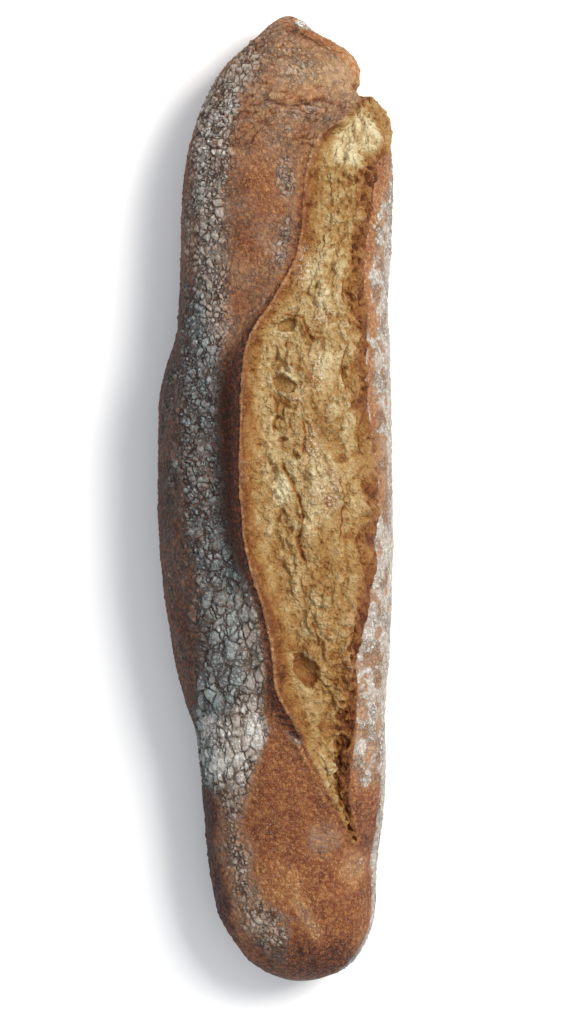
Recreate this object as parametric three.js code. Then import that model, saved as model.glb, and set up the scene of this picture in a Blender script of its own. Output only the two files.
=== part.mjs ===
// A short rustic baguette, modelled as it was baked: one solid.
//
// The loaf lies along Y on its flat base, with its foot at -Y and its head at +Y.
// One long slash opens its crown. Left of the slash the crust has lifted into an ear,
// right of it the crust lies flat, and between the two the crumb has risen.
// Units are millimetres. Z is up, and the origin is under the middle of the base.
import * as THREE from "three";

// Driving dimensions.
const LENGTH = 320;
const HALF_LENGTH = LENGTH / 2;
const CAP_LENGTH = 30; // the rounded part at each end
const TIP_HEIGHT = 17; // of the two tips above the base
const SQUARENESS = 2.2; // exponent of the section: 2 is an ellipse, more is fuller
const UNDERCUT_ANGLE = -25; // where the right-hand crust turns under, in degrees

// The plan outline: [y, x] along the left-hand and right-hand sides.
const LEFT_SIDE = [
  [-160, 8], [-158, -1], [-153, -9], [-146, -14.2], [-137, -19], [-126, -21.5],
  [-105, -23.6], [-86, -25.1], [-76, -26.6], [-68, -29.6], [-60, -31.8], [-45, -34.7],
  [-25, -37.4], [0, -38.7], [20, -38.7], [34, -38], [44, -36], [54, -32.9],
  [62, -32], [85, -31.2], [102, -31], [115, -29], [127, -25.2], [136, -21.3],
  [144, -15.8], [150, -9.2], [155, -4], [158.5, 0], [160, 4],
];
const RIGHT_SIDE = [
  [-160, 8], [-158, 17.5], [-153, 25], [-146, 29.6], [-138, 32.1], [-120, 32.8],
  [-108, 34.4], [-95, 35.7], [-70, 35.9], [-45, 37.7], [-20, 38.4], [10, 38.2],
  [50, 37.4], [66, 36.6], [85, 37.6], [105, 38.2], [118, 37.4], [125, 36.6],
  [129.5, 33.6], [132, 29.6], [134, 26.6], [138, 27.5], [143, 27.2], [147, 24.6],
  [151, 19], [155, 12.2], [158, 8.6], [160, 4],
];

// The side profile: [y, z] of the crown and of the widest level, without the ear,
// and of the underside before the base cuts it flat at z 0.
const CROWN = [
  [-160, TIP_HEIGHT], [-157.5, 26], [-152, 33], [-143, 38.5], [-125, 42.5], [-100, 45],
  [-60, 49], [-20, 51.5], [20, 52], [60, 50], [95, 47], [120, 43.5],
  [135, 39], [146, 32.5], [154, 25], [160, TIP_HEIGHT],
];
const WAIST = [[-160, TIP_HEIGHT], [-120, 18.5], [0, 21], [120, 18.5], [160, TIP_HEIGHT]];
const UNDERSIDE = [
  [-160, TIP_HEIGHT], [-157, 8], [-152, 2], [-145, -3], [-130, -6], [0, -6.5],
  [130, -6], [145, -2.5], [152, 3], [157, 9], [160, TIP_HEIGHT],
];

// The slash in plan: [y, x] of the ear's lip and of the crumb's right-hand edge.
const SLASH_FOOT = -116;
const SLASH_HEAD = 133.5;
const LIP = [
  [-116, 25.4], [-106, 20.5], [-93, 14.2], [-83, 9.6], [-73, 5.2], [-67, 1.8],
  [-61, -0.5], [-53, -1], [-43, -2.8], [-33, -5.4], [-24, -8.3], [-14, -10.6],
  [0, -11.8], [32, -11.6], [46, -10.6], [54, -7.9], [62, -2.7], [69, 1.3],
  [77, 5.6], [85, 7.6], [99, 8.6], [109, 9.9], [115, 11.6], [119, 14],
  [123.5, 20], [128.5, 24.6], [133.5, 26.2],
];
const CRUMB_EDGE = [
  [-116, 27.2], [-109, 26], [-98, 24], [-85, 24.8], [-73, 26], [-60, 26],
  [-54, 25.2], [-44, 27.8], [-27, 30.7], [-15, 31.9], [4, 32.4], [22, 30.6],
  [39, 28.6], [50, 29.2], [61, 29.2], [72, 28], [86, 29.3], [99, 31.4],
  [110, 32.4], [116, 33.6], [122, 35.4], [128, 33.4], [133.5, 26.4],
];
const HEAD_WRAP = { from: 108, to: 122, angle: 20 }; // the crumb spills over the shoulder

// Past its two ends the slash is shut. The angles, in degrees, that its two lines take
// at the tips only keep the strips between them wide enough.
const SHUT_AT_HEAD = { lip: 80, edge: 20 };
const SHUT_AT_FOOT = { lip: 66, edge: 26 };

// The ear and the crumb beside it: [y, height or depth], square to the plain section.
const EAR_LIFT = [
  [-160, 0], [-116, 0], [-104, 0.4], [-84, 0.8], [-72, 1.8], [-64, 3.6],
  [-50, 4.4], [-10, 5.2], [30, 5.2], [52, 4], [72, 2.2], [100, 1.4],
  [114, 2], [124, 3.2], [131, 3], [137, 0], [160, 0],
];
const CRUMB_DROP = [
  [-160, 0], [-116, 0], [-104, 1.4], [-84, 2], [-64, 2], [-20, 1.2],
  [30, 1], [80, 1.2], [112, 2], [124, 4], [132, 4.4], [137, 0], [160, 0],
];
const CRUMB_RISE = [
  [-160, 0], [-116, 0], [-104, -1.2], [-88, -3], [-72, -3], [-62, -1.4],
  [-52, 0.8], [0, 1.8], [50, 1.6], [85, 1.2], [110, 1], [137, 0], [160, 0],
];
const EAR_WIDTH = 4.2; // how far from the lip the ear has risen to a third of its lift
const EAR_THICKNESS = 1.3;
const EAR_ROOT = 8; // from the lip to where the ear meets the crumb
const EAR_ROOT_SHARE = 0.34; // the same, as the most it may take of a narrow slash
const EAR_LEAN = 0.22; // share of the lift that the lip leans to the left
const LEAN_CORRECTIONS = 3; // rounds of allowing for that lean; each is finer than the last
const VALLEY_DEPTH = 0.16; // share of the lift by which the crust dips behind the ear

// How far apart the sections stand.
const CAP_SECTIONS = 9; // over each rounded end
const SECTION_GAP = 5.2;
const FOLD = { from: 121.5, to: 137, gap: 2.4 }; // where the ear folds over the crumb
const LEAST_GAP = 0.3;

// How many strips each stretch of a section has, going round from the base's middle.
const STRIPS = { rightLow: 8, rightCrust: 6, crumb: 12, ear: 2, leftCrust: 11, leftLow: 8 };
const CROWDING = 1.7; // how strongly the strips behind the ear crowd towards the lip

const degrees = THREE.MathUtils.degToRad;

// A smooth curve through [y, value] points. It runs in an angle that bunches up at the
// two tips, so that a round end comes out round.
function smooth(points) {
  const place = (y) => Math.acos(THREE.MathUtils.clamp(-y / HALF_LENGTH, -1, 1));
  const curve = new THREE.CubicInterpolant(
    new Float32Array(points.map(([y]) => place(y))),
    new Float32Array(points.map(([, value]) => value)),
    1,
  );
  return (y) => curve.evaluate(place(y))[0];
}

const leftSide = smooth(LEFT_SIDE);
const rightSide = smooth(RIGHT_SIDE);
const crown = smooth(CROWN);
const waist = smooth(WAIST);
const underside = smooth(UNDERSIDE);
const lip = smooth(LIP);
const crumbEdge = smooth(CRUMB_EDGE);
const earLift = smooth(EAR_LIFT);
const crumbDrop = smooth(CRUMB_DROP);
const crumbRise = smooth(CRUMB_RISE);

// The plain section at y, without slash or ear, as a function from an angle to a point
// in plan x and height z. Angle 0 is the right-hand waist and a quarter turn the crown.
function plainSection(y) {
  const middle = (leftSide(y) + rightSide(y)) / 2;
  const half = (rightSide(y) - leftSide(y)) / 2;
  const full = (value) => Math.sign(value) * Math.abs(value) ** (2 / SQUARENESS);
  const at = (angle) => {
    const reach = Math.sin(angle) > 0 ? crown(y) - waist(y) : waist(y) - underside(y);
    const z = waist(y) + reach * full(Math.sin(angle));
    return new THREE.Vector2(middle + half * full(Math.cos(angle)), Math.max(0, z));
  };
  const angleOf = (x) => {
    const share = THREE.MathUtils.clamp((x - middle) / half, -1, 1);
    return Math.acos(Math.sign(share) * Math.abs(share) ** (SQUARENESS / 2));
  };
  return { at, angleOf, half };
}

// The two angles between which the slash lies at y.
function slashAngles(y) {
  const inside = THREE.MathUtils.clamp(y, SLASH_FOOT, SLASH_HEAD);
  const nearest = plainSection(inside);
  const wrap = THREE.MathUtils.smoothstep(inside, HEAD_WRAP.from, HEAD_WRAP.to);
  const atLip = lipAngle(nearest, inside);
  const atEdge = nearest.angleOf(crumbEdge(inside)) - degrees(HEAD_WRAP.angle) * wrap;
  const shut = y > 0 ? SHUT_AT_HEAD : SHUT_AT_FOOT;
  const past = THREE.MathUtils.smoothstep(Math.abs(y - inside), 0, HALF_LENGTH - Math.abs(inside));
  return {
    lip: THREE.MathUtils.lerp(atLip, degrees(shut.lip), past),
    edge: THREE.MathUtils.lerp(atEdge, degrees(shut.edge), past),
  };
}

// The angle the ear grows from at y, so that its leaning lip ends above the lip's outline.
function lipAngle(plain, y) {
  const lift = Math.max(0, earLift(y));
  let foot = lip(y);
  for (let i = 0; i < LEAN_CORRECTIONS; i += 1) {
    foot += lip(y) - moved(plain, plain.angleOf(foot), lift, lift * EAR_LEAN).x;
  }
  return plain.angleOf(foot);
}

// One closed section of the loaf at y, as points in plan x and height z.
function section(y) {
  const plain = plainSection(y);
  const angles = slashAngles(y);
  const lift = Math.max(0, earLift(y));
  const drop = Math.max(0, crumbDrop(y));
  const rise = crumbRise(y);
  const under = degrees(UNDERCUT_ANGLE);

  // The crumb, from its right-hand edge (share 0) to the root of the ear (share 1).
  const width = plain.at(angles.edge).distanceTo(plain.at(angles.lip));
  const rootShare = Math.min(EAR_ROOT_SHARE, EAR_ROOT / Math.max(width, 1));
  const root = THREE.MathUtils.lerp(angles.lip, angles.edge, rootShare);
  const crumb = (share) => {
    const angle = THREE.MathUtils.lerp(angles.edge, root, share);
    return moved(plain, angle, rise * Math.sin(Math.PI * share) - drop * share ** 2);
  };

  // The ear's own wall, from the crumb up to its lip.
  const thickness = Math.min(EAR_THICKNESS, plain.half / 12);
  const wallFoot = crumb(1);
  const wallTop = moved(plain, angles.lip, lift, lift * EAR_LEAN - thickness);

  // The crust behind the ear, from the lip (share 0) down to the left-hand waist.
  const leftCrust = (share) => {
    const angle = THREE.MathUtils.lerp(angles.lip, Math.PI, share ** CROWDING);
    const away = ((angle - angles.lip) * plain.half) / EAR_WIDTH;
    const raised = Math.exp(-(away ** 2));
    const dipped = VALLEY_DEPTH * Math.exp(-((away - 2) ** 2));
    return moved(plain, angle, lift * (raised - dipped), lift * EAR_LEAN * raised);
  };

  return [
    ...stretch(STRIPS.rightLow, -Math.PI / 2, under, plain.at),
    ...stretch(STRIPS.rightCrust, under, angles.edge, plain.at),
    ...stretch(STRIPS.crumb, 0, 1, crumb),
    ...stretch(STRIPS.ear, 0, 1, (share) => wallFoot.clone().lerp(wallTop, share)),
    wallTop,
    ...stretch(STRIPS.leftCrust, 0, 1, leftCrust),
    ...stretch(STRIPS.leftLow, Math.PI, 1.5 * Math.PI, plain.at),
  ];
}

// A point of the plain section, moved out square to it and along it to the left.
function moved(plain, angle, out, along = 0) {
  const nearby = 0.01;
  const leftwards = plain.at(angle + nearby).sub(plain.at(angle - nearby)).normalize();
  const outwards = new THREE.Vector2(leftwards.y, -leftwards.x);
  return plain.at(angle).addScaledVector(outwards, out).addScaledVector(leftwards, along);
}

// The given number of points along one stretch of a section, without its far end.
function stretch(count, from, to, point) {
  return Array.from({ length: count }, (_, i) => point(THREE.MathUtils.lerp(from, to, i / count)));
}

// Where the sections stand: close together at the round ends and at the head of the
// slash, and evenly spaced between.
function stations() {
  const found = [];
  for (let i = 1; i <= CAP_SECTIONS; i += 1) {
    const inset = CAP_LENGTH * (1 - Math.cos((Math.PI / 2) * (i / CAP_SECTIONS)));
    found.push(inset - HALF_LENGTH, HALF_LENGTH - inset);
  }
  const inner = HALF_LENGTH - CAP_LENGTH;
  for (let y = SECTION_GAP - inner; y < inner; y += SECTION_GAP) found.push(y);
  for (let y = FOLD.from; y < FOLD.to; y += FOLD.gap) found.push(y);
  found.sort((a, b) => a - b);
  return found.filter((y, i) => i === 0 || y - found[i - 1] > LEAST_GAP);
}

// Skins the sections, and closes each end in a point.
function loafGeometry() {
  const ys = stations();
  const rings = ys.map((y) => section(y));
  const around = rings[0].length;
  const positions = [];
  const triangles = [];
  rings.forEach((ring, k) => ring.forEach((point) => positions.push(point.x, ys[k], point.y)));
  const foot = rings.length * around;
  positions.push(leftSide(-HALF_LENGTH), -HALF_LENGTH, TIP_HEIGHT);
  positions.push(leftSide(HALF_LENGTH), HALF_LENGTH, TIP_HEIGHT);
  for (let i = 0; i < around; i += 1) {
    const next = (i + 1) % around;
    for (let k = 0; k + 1 < rings.length; k += 1) {
      const a = k * around;
      const b = a + around;
      triangles.push(a + i, b + next, a + next, a + i, b + i, b + next);
    }
    const last = (rings.length - 1) * around;
    triangles.push(foot, i, next);
    triangles.push(foot + 1, last + next, last + i);
  }
  const geometry = new THREE.BufferGeometry();
  geometry.setAttribute("position", new THREE.Float32BufferAttribute(positions, 3));
  geometry.setIndex(triangles);
  geometry.computeBoundingBox();
  const { min, max } = geometry.boundingBox;
  geometry.translate(-(min.x + max.x) / 2, -(min.y + max.y) / 2, -min.z);
  geometry.computeVertexNormals();
  return geometry;
}

const crust = new THREE.MeshStandardMaterial({ color: 0xa9703c, roughness: 0.75, metalness: 0 });
const loaf = new THREE.Mesh(loafGeometry(), crust);
loaf.name = "loaf";

const baguette = new THREE.Group();
baguette.name = "baguette";
baguette.add(loaf);

export default baguette;
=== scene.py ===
"""A short rustic baguette on a pale floor, seen from straight above (Blender 4.5).

The loaf is one dense grid of points. Sections stand along Y, and each goes once round the
loaf. Its plain shape comes first. What the oven did to it comes next, as heights square to
that shape: lumps, plates of flour, bubbles in the crumb. The same fields go to the material
as point attributes, so that colour and shape agree. Some of them also paint shade into the
hollows, onto the left flank and onto the ear's outer face, and paint highlights on the lip
and on the crumb.

Shape and fields are drawn in millimetres of a loaf 320 long, and scaled to the frame.
"""
import math
from types import SimpleNamespace

import bpy
import numpy as np
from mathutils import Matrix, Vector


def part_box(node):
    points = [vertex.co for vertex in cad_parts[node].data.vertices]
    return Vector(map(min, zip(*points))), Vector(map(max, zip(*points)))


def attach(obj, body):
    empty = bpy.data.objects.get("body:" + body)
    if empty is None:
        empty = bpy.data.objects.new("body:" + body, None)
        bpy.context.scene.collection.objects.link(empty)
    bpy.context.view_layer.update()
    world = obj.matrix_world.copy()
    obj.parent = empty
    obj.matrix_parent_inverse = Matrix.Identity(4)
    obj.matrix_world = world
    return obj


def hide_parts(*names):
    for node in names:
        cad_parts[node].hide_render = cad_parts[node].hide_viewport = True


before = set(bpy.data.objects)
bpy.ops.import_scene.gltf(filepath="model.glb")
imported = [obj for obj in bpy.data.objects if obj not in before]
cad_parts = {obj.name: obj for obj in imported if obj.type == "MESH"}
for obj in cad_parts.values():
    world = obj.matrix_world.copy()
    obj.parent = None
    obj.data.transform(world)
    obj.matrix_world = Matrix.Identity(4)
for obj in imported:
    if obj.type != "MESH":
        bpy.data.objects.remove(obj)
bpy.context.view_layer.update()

NODE = "loaf"
DRAWN_LENGTH = 320.0
HALF_LENGTH = DRAWN_LENGTH / 2
LOW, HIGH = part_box(NODE)
MM = (HIGH.y - LOW.y) / DRAWN_LENGTH  # metres in one drawn millimetre


# ---------------------------------------------------------------- the loaf as drawn
CAP_LENGTH = 30.0  # the rounded part at each end
TIP_HEIGHT = 17.0  # of the two tips above the base
SQUARENESS = 2.2  # exponent of the section: 2 is an ellipse, more is fuller
UNDERCUT_ANGLE = -25.0  # where the right-hand crust turns under, in degrees

# The plan outline: (y, x) along the left-hand and right-hand sides.
LEFT_SIDE = [
    (-160, 8), (-158, -1), (-153, -9), (-146, -14.2), (-137, -19), (-126, -21.5),
    (-105, -23.6), (-86, -25.1), (-76, -26.6), (-68, -29.6), (-60, -31.8), (-45, -34.7),
    (-25, -37.4), (0, -38.7), (20, -38.7), (34, -38), (44, -36), (54, -32.9),
    (62, -32), (85, -31.2), (102, -31), (115, -29), (127, -25.2), (136, -21.3),
    (144, -15.8), (150, -9.2), (155, -4), (158.5, 0), (160, 4),
]
RIGHT_SIDE = [
    (-160, 8), (-158, 17.5), (-153, 25), (-146, 29.6), (-138, 32.1), (-120, 32.8),
    (-108, 34.4), (-95, 35.7), (-70, 35.9), (-45, 37.7), (-20, 38.4), (10, 38.2),
    (50, 37.4), (66, 36.6), (85, 37.6), (105, 38.2), (118, 37.4), (125, 36.6),
    (129.5, 33.6), (132, 29.6), (134, 26.6), (138, 27.5), (143, 27.2), (147, 24.6),
    (151, 19), (155, 12.2), (158, 8.6), (160, 4),
]

# The side profile: (y, z) of the crown and of the widest level, without the ear,
# and of the underside before the base cuts it flat at z 0.
CROWN = [
    (-160, TIP_HEIGHT), (-157.5, 26), (-152, 33), (-143, 38.5), (-125, 42.5), (-100, 45),
    (-60, 49), (-20, 51.5), (20, 52), (60, 50), (95, 47), (120, 43.5),
    (135, 39), (146, 32.5), (154, 25), (160, TIP_HEIGHT),
]
WAIST = [(-160, TIP_HEIGHT), (-120, 18.5), (0, 21), (120, 18.5), (160, TIP_HEIGHT)]
UNDERSIDE = [
    (-160, TIP_HEIGHT), (-157, 8), (-152, 2), (-145, -3), (-130, -6), (0, -6.5),
    (130, -6), (145, -2.5), (152, 3), (157, 9), (160, TIP_HEIGHT),
]

# The slash in plan: (y, x) of the ear's lip and of the crumb's right-hand edge.
SLASH_FOOT = -116.0
SLASH_HEAD = 133.5
LIP = [
    (-116, 25.4), (-106, 20.5), (-93, 14.2), (-83, 9.6), (-73, 5.2), (-67, 1.8),
    (-61, -0.5), (-53, -1), (-43, -2.8), (-33, -5.4), (-24, -8.3), (-14, -10.6),
    (0, -11.8), (32, -11.6), (46, -10.6), (54, -7.9), (62, -2.7), (69, 1.3),
    (77, 5.6), (85, 7.6), (99, 8.6), (109, 9.9), (115, 11.6), (119, 14),
    (123.5, 20), (128.5, 24.6), (133.5, 26.2),
]
CRUMB_EDGE = [
    (-116, 27.2), (-109, 26), (-98, 24), (-85, 24.8), (-73, 26), (-60, 26),
    (-54, 25.2), (-44, 27.8), (-27, 30.7), (-15, 31.9), (4, 32.4), (22, 30.6),
    (39, 28.6), (50, 29.2), (61, 29.2), (72, 28), (86, 29.3), (99, 31.4),
    (110, 32.4), (116, 33.6), (122, 35.4), (128, 33.4), (133.5, 26.4),
]
HEAD_WRAP_FROM, HEAD_WRAP_TO, HEAD_WRAP_ANGLE = 108.0, 122.0, 20.0  # crumb over the shoulder

# Past its two ends the slash is shut. These are the angles that its two lines take there.
SHUT_AT_HEAD = (80.0, 20.0)
SHUT_AT_FOOT = (66.0, 26.0)

# The ear and the crumb beside it: (y, height or depth), square to the plain section.
EAR_LIFT = [
    (-160, 0), (-116, 0), (-104, 0.4), (-84, 0.8), (-72, 1.8), (-64, 3.6),
    (-50, 4.4), (-10, 5.2), (30, 5.2), (52, 4), (72, 2.2), (100, 1.4),
    (114, 2), (124, 3.2), (131, 3), (137, 0), (160, 0),
]
CRUMB_DROP = [
    (-160, 0), (-116, 0), (-104, 1.4), (-84, 2), (-64, 2), (-20, 1.2),
    (30, 1), (80, 1.2), (112, 2), (124, 4), (132, 4.4), (137, 0), (160, 0),
]
CRUMB_RISE = [
    (-160, 0), (-116, 0), (-104, -1.2), (-88, -3), (-72, -3), (-62, -1.4),
    (-52, 0.8), (0, 1.8), (50, 1.6), (85, 1.2), (110, 1), (137, 0), (160, 0),
]
EAR_WIDTH = 4.2  # how far from the lip the ear has risen to a third of its lift
EAR_THICKNESS = 1.3
EAR_ROOT = 8.0  # from the lip to where the ear meets the crumb
EAR_ROOT_SHARE = 0.34  # the same, as the most it may take of a narrow slash
EAR_LEAN = 0.22  # share of the lift that the lip leans to the left
LEAN_CORRECTIONS = 3  # rounds of allowing for that lean; each is finer than the last
EAR_HOLLOW = 0.6  # how far towards the lip the crumb runs before the wall turns up
VALLEY_DEPTH = 0.16  # share of the lift by which the crust dips behind the ear

# How many strips each stretch of a section has, going round from the base's middle.
STRIPS = SimpleNamespace(
    right_low=64, right_crust=56, crumb=130, ear_wall=26, lip=6, left_crust=190, left_low=64
)
CROWDING = 1.15  # how strongly the strips behind the ear crowd towards the lip
CAP_SECTIONS = 90  # over each rounded end
SECTION_GAP = 0.33


# ---------------------------------------------------------------- arithmetic on whole grids
def smoothstep(value, start, end):
    """0 up to start, 1 from end on, and a soft rise between; start may be above end."""
    share = np.clip((value - start) / (end - start), 0, 1)
    return share * share * (3 - 2 * share)


def between(value, low, full, ebb, high):
    """0 up to low, 1 from full to ebb, 0 from high on, and soft in between."""
    return smoothstep(value, low, full) * smoothstep(value, high, ebb)


def mix(a, b, share):
    return a + (b - a) * share


def bell(distance, width):
    return np.exp(-((distance / width) ** 2))


def curve(points, y):
    """A smooth curve through (y, value) points, read at y. It runs in an angle that bunches
    up at the two tips, so that a round end comes out round."""
    knots, values = np.array(points, float).T
    place, at = (np.arccos(np.clip(-v / HALF_LENGTH, -1, 1)) for v in (knots, y))
    steps = np.diff(place)
    slopes = np.diff(values) / steps
    tangents = np.concatenate([slopes[:1], (slopes[1:] + slopes[:-1]) / 2, slopes[-1:]])
    i = np.clip(np.searchsorted(place, at) - 1, 0, len(steps) - 1)
    t = (at - place[i]) / steps[i]
    bend_in = tangents[i] * steps[i]
    bend_out = tangents[i + 1] * steps[i]
    rise = values[i + 1] - values[i]
    return values[i] + t * (bend_in + t * (3 * rise - 2 * bend_in - bend_out
                                           + t * (bend_in + bend_out - 2 * rise)))


def scrambled(lattice, seed):
    """A repeatable random whole number for each lattice point, given as three arrays."""
    with np.errstate(over="ignore"):
        n = lattice[0] * np.uint32(374761393) + lattice[1] * np.uint32(668265263)
        n += lattice[2] * np.uint32(1442695041) + np.uint32(seed * 2654435761 % 2**32)
        n = (n ^ (n >> np.uint32(13))) * np.uint32(1274126177)
        n = (n ^ (n >> np.uint32(15))) * np.uint32(2246822519)
    return n ^ (n >> np.uint32(16))


def fraction(whole, shift):
    """Ten bits of a random whole number as a fraction from 0 to 1."""
    return ((whole >> np.uint32(shift)) & np.uint32(1023)).astype(np.float32) / np.float32(1023)


def on_lattice(points):
    """Splits points into the lattice points below them and the rest, axis by axis."""
    floors = [np.floor(points[..., k]) for k in range(3)]
    lattice = [floor.astype(np.int32).view(np.uint32) for floor in floors]
    return lattice, [(points[..., k] - floors[k]).astype(np.float32) for k in range(3)]


def gradient_noise(points, seed):
    """Smooth noise from about -1 to 1 that changes over a distance of about 1."""
    lattice, inside = on_lattice(points)
    ease = [t**3 * (t * (t * 6 - 15) + 10) for t in inside]
    total = np.zeros(points.shape[:-1], np.float32)
    for corner in np.ndindex(2, 2, 2):
        whole = scrambled([lattice[k] + np.uint32(corner[k]) for k in range(3)], seed)
        weight, slope = 1, 0
        for k in range(3):
            weight = weight * (ease[k] if corner[k] else 1 - ease[k])
            slope = slope + (fraction(whole, 10 * k) * 2 - 1) * (inside[k] - corner[k])
        total += weight * slope
    return total * 1.5


def cloud(points, size, octaves, seed, stretch=(1, 1, 1)):
    """Noise of several octaves. size is its largest scale, in the units of the points."""
    total = 0
    for octave in range(octaves):
        scale = 2.0**octave / (size * np.array(stretch))
        total = total + gradient_noise(points * scale, seed * 17 + octave) / 2**octave
    return total / (2 - 2.0 ** (1 - octaves))


def clouds(points, size, octaves, seed):
    """Three clouds as one vector, to pull points about."""
    return np.stack([cloud(points, size, octaves, seed + k) for k in range(3)], -1)


def cells(points, size, seed, stretch=(1, 1, 1)):
    """Irregular cells. Returns each point's distance to its cell's middle, how far it is
    inside the cell (both in cell sizes), and a random fraction for the cell."""
    lattice, inside = on_lattice(points / (size * np.array(stretch)))
    nearest = np.full(points.shape[:-1], 9, np.float32)
    second = nearest.copy()
    owner = np.zeros(points.shape[:-1], np.uint32)
    for step in np.ndindex(3, 3, 3):
        whole = scrambled([lattice[k] + np.uint32((step[k] - 1) % 2**32) for k in range(3)], seed)
        distance = np.sqrt(sum(
            (fraction(whole, 10 * k) + np.float32(step[k] - 1) - inside[k]) ** 2 for k in range(3)
        ))
        closer = distance < nearest
        second = np.where(closer, nearest, np.minimum(second, distance))
        nearest = np.where(closer, distance, nearest)
        owner = np.where(closer, whole, owner)
    return nearest, second - nearest, fraction(owner * np.uint32(2654435761), 12)


def oval(x, y, middle, radii, turn=0.0):
    """Distance from an oval's middle: 1 on the oval. turn is in degrees, from +X towards +Y."""
    across, up = x - middle[0], y - middle[1]
    c, s = math.cos(math.radians(turn)), math.sin(math.radians(turn))
    return np.hypot((across * c + up * s) / radii[0], (up * c - across * s) / radii[1])


def to_path(x, y, path):
    """The distance to a line through the points of path, and on which side: left is above 0."""
    nearest = np.full(x.shape, 1e9)
    side = np.zeros(x.shape)
    for (x0, y0), (x1, y1) in zip(path, path[1:]):
        run, climb = x1 - x0, y1 - y0
        share = np.clip(((x - x0) * run + (y - y0) * climb) / (run**2 + climb**2), 0, 1)
        distance = np.hypot(x - x0 - share * run, y - y0 - share * climb)
        left = run * (y - y0) - climb * (x - x0)
        side = np.where(distance < nearest, np.sign(left), side)
        nearest = np.minimum(nearest, distance)
    return nearest, side


# ---------------------------------------------------------------- the plain loaf
def stations():
    """Where the sections stand along Y, from the foot's tip to the head's, tips left out."""
    turn = np.linspace(0, math.pi / 2, CAP_SECTIONS + 1)[1:]
    inset = CAP_LENGTH * (1 - np.cos(turn))
    inner = HALF_LENGTH - CAP_LENGTH
    evenly = np.linspace(-inner, inner, round(2 * inner / SECTION_GAP))[1:-1]
    return np.concatenate([inset - HALF_LENGTH, evenly, (HALF_LENGTH - inset)[::-1]])


def plain_rings(y):
    """The sizes of the plain sections at y, as columns that broadcast over their points."""
    left, right = curve(LEFT_SIDE, y), curve(RIGHT_SIDE, y)
    return SimpleNamespace(
        y=y, middle=(left + right) / 2, half=(right - left) / 2,
        crown=curve(CROWN, y), waist=curve(WAIST, y), underside=curve(UNDERSIDE, y),
    )


def plain_point(ring, angle):
    """Points (x, z) of plain sections. Angle 0 is the right-hand waist."""
    def full(value):
        return np.sign(value) * np.abs(value) ** (2 / SQUARENESS)

    above = ring.crown - ring.waist
    below = ring.waist - ring.underside
    reach = np.where(np.sin(angle) > 0, above, below)
    x = ring.middle + ring.half * full(np.cos(angle))
    z = np.maximum(0, ring.waist + reach * full(np.sin(angle)))
    return np.stack(np.broadcast_arrays(x, z), -1)


def angle_at(ring, x):
    """The angle at which the upper half of a plain section reaches x."""
    share = np.clip((x - ring.middle) / ring.half, -1, 1)
    return np.arccos(np.sign(share) * np.abs(share) ** (SQUARENESS / 2))


def slash_angles(y):
    """The angles of the lip and of the crumb's right-hand edge."""
    inside = np.clip(y, SLASH_FOOT, SLASH_HEAD)
    nearest = plain_rings(inside)
    wrap = smoothstep(inside, HEAD_WRAP_FROM, HEAD_WRAP_TO) * math.radians(HEAD_WRAP_ANGLE)
    at_lip = lip_angle(nearest)
    at_edge = angle_at(nearest, curve(CRUMB_EDGE, inside)) - wrap
    past = smoothstep(np.abs(y - inside), 0, HALF_LENGTH - np.abs(inside))
    shut_lip, shut_edge = (
        np.radians(np.where(y > 0, head, foot)) for head, foot in zip(SHUT_AT_HEAD, SHUT_AT_FOOT)
    )
    return mix(at_lip, shut_lip, past), mix(at_edge, shut_edge, past)


def lip_angle(ring):
    """The angle the ear grows from, so that its leaning lip ends above the lip's outline."""
    outline = curve(LIP, ring.y)
    lift = np.maximum(0, curve(EAR_LIFT, ring.y))
    foot = outline
    for _ in range(LEAN_CORRECTIONS):
        foot = foot + outline - moved(ring, angle_at(ring, foot), lift, lift * EAR_LEAN)[..., 0]
    return angle_at(ring, foot)


def moved(ring, angle, out, along=0.0):
    """Points of plain sections, moved out square to them and along them to the left."""
    nearby = 0.01
    leftwards = plain_point(ring, angle + nearby) - plain_point(ring, angle - nearby)
    leftwards /= np.linalg.norm(leftwards, axis=-1, keepdims=True)
    outwards = leftwards[..., ::-1] * (1, -1)
    out, along = (np.broadcast_to(v, angle.shape)[..., None] for v in (out, along))
    return plain_point(ring, angle) + outwards * out + leftwards * along


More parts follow.
